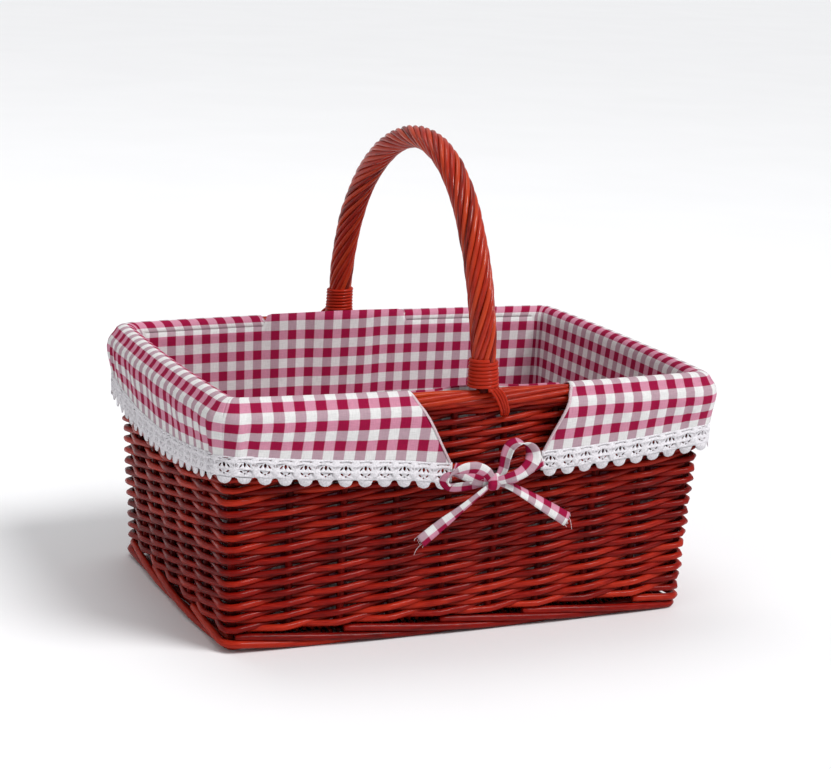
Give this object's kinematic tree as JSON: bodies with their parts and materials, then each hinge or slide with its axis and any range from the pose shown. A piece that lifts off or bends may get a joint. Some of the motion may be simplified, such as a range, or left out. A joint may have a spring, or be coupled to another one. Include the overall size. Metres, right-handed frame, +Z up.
{
  "type": "wicker basket",
  "caption": "Rectangular open wicker basket with a fixed arched handle, lined with gingham that folds over the rim in a lace-trimmed skirt with ribbon bows.",
  "frame": {"origin": "on the table, under the middle of the basket", "axes": "+X along the long sides, +Y from the front to the back, +Z up"},
  "size_m": [0.432, 0.3488, 0.3821],
  "materials": {
    "willow": "glossy mahogany-stained willow",
    "rim_willow": "glossy red-brown stained willow, a little lighter",
    "gingham": "woven cotton and linen gingham, raspberry and off-white, matte",
    "lace": "white crochet lace, matte"
  },
  "bodies": {
    "basket": {"back_handle_binding": "rim_willow", "back_left_corner_post": "willow", "back_right_corner_post": "willow", "back_rim_lashing": "rim_willow", "back_stake_1": "willow", "back_stake_2": "willow", "back_stake_3": "willow", "back_stake_4": "willow", "back_stake_5": "willow", "back_stake_6": "willow", "back_stake_7": "willow", "back_stake_8": "willow", "back_wall_weave": "willow", "base_stick_1": "willow", "base_stick_2": "willow", "base_stick_3": "willow", "base_weave": "willow", "foot_border": "willow", "front_handle_binding": "rim_willow", "front_left_corner_post": "willow", "front_right_corner_post": "willow", "front_rim_lashing": "rim_willow", "front_stake_1": "willow", "front_stake_2": "willow", "front_stake_3": "willow", "front_stake_4": "willow", "front_stake_5": "willow", "front_stake_6": "willow", "front_stake_7": "willow", "front_stake_8": "willow", "front_wall_weave": "willow", "handle_core": "rim_willow", "handle_wrap_1": "rim_willow", "handle_wrap_2": "rim_willow", "handle_wrap_3": "rim_willow", "handle_wrap_4": "rim_willow", "left_stake_1": "willow", "left_stake_2": "willow", "left_stake_3": "willow", "left_stake_4": "willow", "left_stake_5": "willow", "left_wall_weave": "willow", "right_stake_1": "willow", "right_stake_2": "willow", "right_stake_3": "willow", "right_stake_4": "willow", "right_stake_5": "willow", "right_wall_weave": "willow", "top_border": "rim_willow"},
    "liner": {"back_left_tie": "gingham", "back_right_tie": "gingham", "front_left_tie": "gingham", "front_right_tie": "gingham", "left_lace_trim": "lace", "liner_back_cloth": "gingham", "liner_floor_cloth": "gingham", "liner_front_cloth": "gingham", "liner_left_cloth": "gingham", "liner_right_cloth": "gingham", "right_lace_trim": "lace"}
  },
  "joints": [
    {"name": "liner_lift", "type": "slide", "parent": "basket", "child": "liner", "axis": [0, 0, 1], "range_m": [0, 0.04]}
  ]
}
